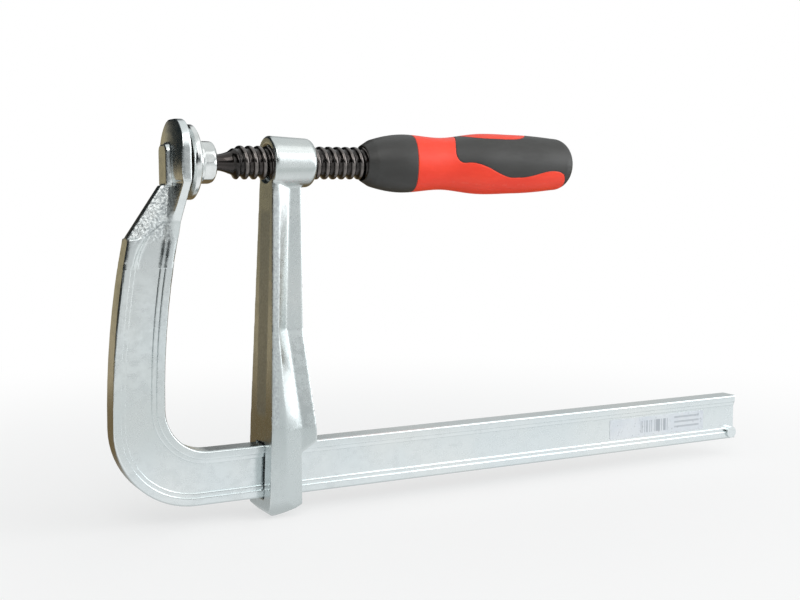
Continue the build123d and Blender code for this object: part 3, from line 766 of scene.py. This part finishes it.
def buildArm():
    arm = copyNode("sliding_arm", "sliding_arm_forging")
    remeshFine(arm, armShape["voxel"])
    finishWith(arm, "SMOOTH", factor=0.5, iterations=armShape["settle"])
    groove = weigh(arm, "groove", grooveAt)
    finishWith(arm, "SMOOTH", factor=0.5, iterations=armShape["settleGroove"], vertex_group=groove)
    paintSkin(arm, lambda vertex: max(flashAt(vertex), 0.7 * grooveAt(vertex.co)))
    smoothShade(arm, 35)
    fit(arm, "arm", "sliding_arm", forgedZinc)


# screw: ball, neck and a rolled round-crested thread
screwShape = {
    "pitch": 4.75 * mm,
    "crest": 8.3 * mm,
    "root": 6.85 * mm,
    "phase": 27.6 * mm,       # where the root crosses the top
    "start": 23.0 * mm,       # where the thread begins to rise
    "full": 28.5 * mm,        # and where it has its full height
    "ball": 5.2 * mm,
    "neck": 4.0 * mm,
    "neckEnd": 18.6 * mm,
    "flareEnd": 27.5 * mm,
    "tang": 10 * mm,
    "profileSteps": 14,
    "round": 1.9,             # how square the thread's waves are
}


def buildScrew():
    shape = screwShape
    low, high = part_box("spindle")
    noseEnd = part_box("handle_nose")[0].x + 5 * mm
    firstTurn = shape["phase"] - 2 * shape["pitch"]
    turns = math.ceil((noseEnd - firstTurn) / shape["pitch"]) + 1
    points = []
    for step in range(shape["profileSteps"] + 1):
        wave = math.cos(2 * math.pi * step / shape["profileSteps"])
        height = 0.5 - 0.5 * math.tanh(shape["round"] * wave) / math.tanh(shape["round"])
        along = firstTurn + shape["pitch"] * step / shape["profileSteps"]
        points.append((along, shape["root"] + (shape["crest"] - shape["root"]) * height))
    thread = drawOutline("screw_thread", points)
    finishWith(
        thread, "SCREW", axis="X", angle=2 * math.pi, screw_offset=shape["pitch"], iterations=turns,
        steps=64, render_steps=64, use_merge_vertices=True, merge_threshold=0.01 * mm, use_smooth_shade=True,
    )
    openMesh(thread)
    bpy.ops.mesh.select_all(action="SELECT")
    bpy.ops.mesh.remove_doubles(threshold=0.01 * mm)
    bpy.ops.mesh.normals_make_consistent(inside=False)
    closeMesh()
    cutAcross(thread, (noseEnd, 0, 0), (1, 0, 0), fill=True)
    cutAcross(thread, (shape["start"], 0, 0), (-1, 0, 0))
    for vertex in thread.data.vertices:  # the thread rises out of the flaring neck
        radius = math.hypot(vertex.co.y, vertex.co.z)
        if radius > mm and vertex.co.x < shape["full"] + mm:
            rise = ramp(vertex.co.x, shape["start"], shape["full"])
            wanted = flareAt(vertex.co.x) + (radius - shape["root"]) * rise
            vertex.co.y *= wanted / radius
            vertex.co.z *= wanted / radius
    body = drawOutline("spindle_body", screwBodyOutline(low.x))
    turnOutline(body, 64)
    makeActive(thread)
    body.select_set(True)
    bpy.ops.object.join()
    bridgeOpenEdges(thread)
    bpy.ops.object.select_all(action="DESELECT")
    bpy.ops.mesh.primitive_cube_add(size=1, location=((noseEnd + high.x) / 2 - mm / 4, 0, 0))
    tang = bpy.context.object
    bpy.ops.transform.resize(value=(high.x - noseEnd + mm / 2, shape["tang"], shape["tang"]))
    bpy.ops.object.transform_apply(location=True, rotation=True, scale=True)
    finishWith(tang, "BEVEL", width=1 * mm, segments=3)
    makeActive(thread)
    tang.select_set(True)
    bpy.ops.object.join()
    thread.name = thread.data.name = "rolled_thread_spindle"
    smoothShade(thread, 50)
    fit(thread, "screw", "spindle", threadSteel)


def flareAt(along):  # radius of the neck as it widens to the thread's root
    shape = screwShape
    share = (along - shape["neckEnd"]) / (shape["flareEnd"] - shape["neckEnd"])
    return shape["neck"] + (shape["root"] - shape["neck"]) * min(max(share, 0), 1) ** 1.5


def screwBodyOutline(tip):
    shape = screwShape
    centre = tip + shape["ball"]
    neckTurn = 180 - math.degrees(math.asin(shape["neck"] / shape["ball"]))
    ball = arcPoints((centre, 0), shape["ball"], 180, 180 - neckTurn, 16)
    reach = shape["start"] - shape["neckEnd"]
    flare = [shape["neckEnd"] + reach * step / 8 for step in range(9)]
    return ball + [(along, flareAt(along)) for along in flare]


# swivel pad: a turned disc with a boss crimped behind the ball
padShape = {
    "face": 1.6 * mm,
    "radius": 18 * mm,
    "rimBack": 5.2 * mm,
    "boss": 10.4 * mm,
    "bossStart": 8.0 * mm,
    "mouth": 4.9 * mm,
    "groove": 7.0 * mm,
    "seat": 5.28 * mm,
    "pocket": 4.8 * mm,
    "ballCentre": 9.2 * mm,
    "corners": (64, 26, -6, -53, -98, -140, -182, -220, -258),   # edges between the crimped flats, degrees
}


def buildPad():
    shape = padShape
    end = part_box("pressure_pad")[1].x
    face, rim, boss, start = shape["face"], shape["radius"], shape["boss"], shape["bossStart"]
    outline = [(face, 0), (face, rim - 1.7 * mm)]
    outline += arcPoints((face + 0.5 * mm, rim - 1.7 * mm), 0.5 * mm, 165, 135, 3)
    outline += arcPoints((face + 1.7 * mm, rim - 0.6 * mm), 0.6 * mm, 135, 90, 4)
    outline += arcPoints((shape["rimBack"] - 0.6 * mm, rim - 0.6 * mm), 0.6 * mm, 90, 30, 5)
    outline += [(shape["rimBack"] + 0.55 * mm, rim - 1.2 * mm), (start - 0.5 * mm, boss + 1.2 * mm)]
    outline += [(start - 0.15 * mm, boss + 0.6 * mm), (start + 0.1 * mm, boss + 0.42 * mm)]
    outline += [(start + 1.1 * mm, boss + 0.36 * mm), (start + 1.35 * mm, boss + 0.1 * mm)]
    outline += [(start + 1.45 * mm, boss)]
    crimp = 2.6 * mm
    outline += [(end - crimp, boss)]
    outline += arcPoints((end - crimp, boss - crimp), crimp, 75, 0, 7)
    outline += [(end, shape["mouth"] + 1.3 * mm), (end - 0.35 * mm, shape["mouth"] + 0.2 * mm)]
    outline += [(end - 0.7 * mm, shape["mouth"])]
    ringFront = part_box("ball_retaining_ring")[0].x - 0.7 * mm
    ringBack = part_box("ball_retaining_ring")[1].x + 0.7 * mm
    outline += [(ringBack, shape["mouth"]), (ringBack, shape["groove"]), (ringFront, shape["groove"])]
    outline += [(ringFront, shape["seat"])]
    pocketTurn = 180 - math.degrees(math.asin(shape["pocket"] / shape["seat"]))
    outline += arcPoints((shape["ballCentre"], 0), shape["seat"], 90, pocketTurn, 6)
    floor = face + 0.9 * mm
    outline += [(floor, shape["pocket"]), (floor, 0)]
    pad = drawOutline("swivel_pad", outline)
    turnOutline(pad, 180)
    flatCorners = shape["corners"] + (shape["corners"][0] - 360,)
    for vertex in pad.data.vertices:
        radius = math.hypot(vertex.co.y, vertex.co.z)
        if vertex.co.x < start + 1.4 * mm or radius < shape["groove"] + 0.5 * mm:
            continue
        turn = math.degrees(math.atan2(vertex.co.z, -vertex.co.y))  # from -Y towards +Z
        turn -= 360 if turn > flatCorners[0] else 0
        first, second = next(pair for pair in zip(flatCorners, flatCorners[1:]) if pair[1] <= turn <= pair[0])
        flat = boss * math.cos(math.radians(first - second) / 2) + 0.12 * mm
        limit = flat / math.cos(math.radians(turn - (first + second) / 2))
        if radius > limit:
            vertex.co.y *= limit / radius
            vertex.co.z *= limit / radius
    smoothShade(pad, 24)
    fit(pad, "pad", "pressure_pad", padSteel)


# handle: a hard red core with a soft black nose and side panels
handleShape = {
    "voxel": 0.42 * mm,
    "settle": 6,
}


def buildHandle():
    for nodeName, pieceName, slotName, material in (
        ("handle_core", "red_handle_core", "red_plastic", redPlastic),
        ("handle_nose", "black_handle_nose", "black_grip", blackGrip),
        ("handle_grip", "black_side_panels", "black_grip", blackGrip),
    ):
        piece = copyNode(nodeName, pieceName)
        remeshFine(piece, handleShape["voxel"])
        finishWith(piece, "SMOOTH", factor=0.5, iterations=handleShape["settle"])
        smoothShade(piece, 50)
        fit(piece, "screw", nodeName, material)


def dressPlainNodes():  # nodes whose CAD shape is already the real one
    for nodeName, material in (
        ("ball_retaining_ring", springSteel), ("thrust_washer", springSteel), ("size_label", labelFilm),
    ):
        nodes[nodeName].data.materials.clear()
        nodes[nodeName].data.materials.append(material)


print("camera and studio")
addCamera()
addLights()
addWorld()
addFloor()
bpy.context.scene.view_settings.view_transform = "Standard"
print("rail and fixed jaw")
buildRail()
print("sliding arm")
buildArm()
print("screw")
buildScrew()
print("swivel pad")
buildPad()
print("handle")
buildHandle()
dressPlainNodes()

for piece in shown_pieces():
    print(piece.name, len(piece.data.polygons))
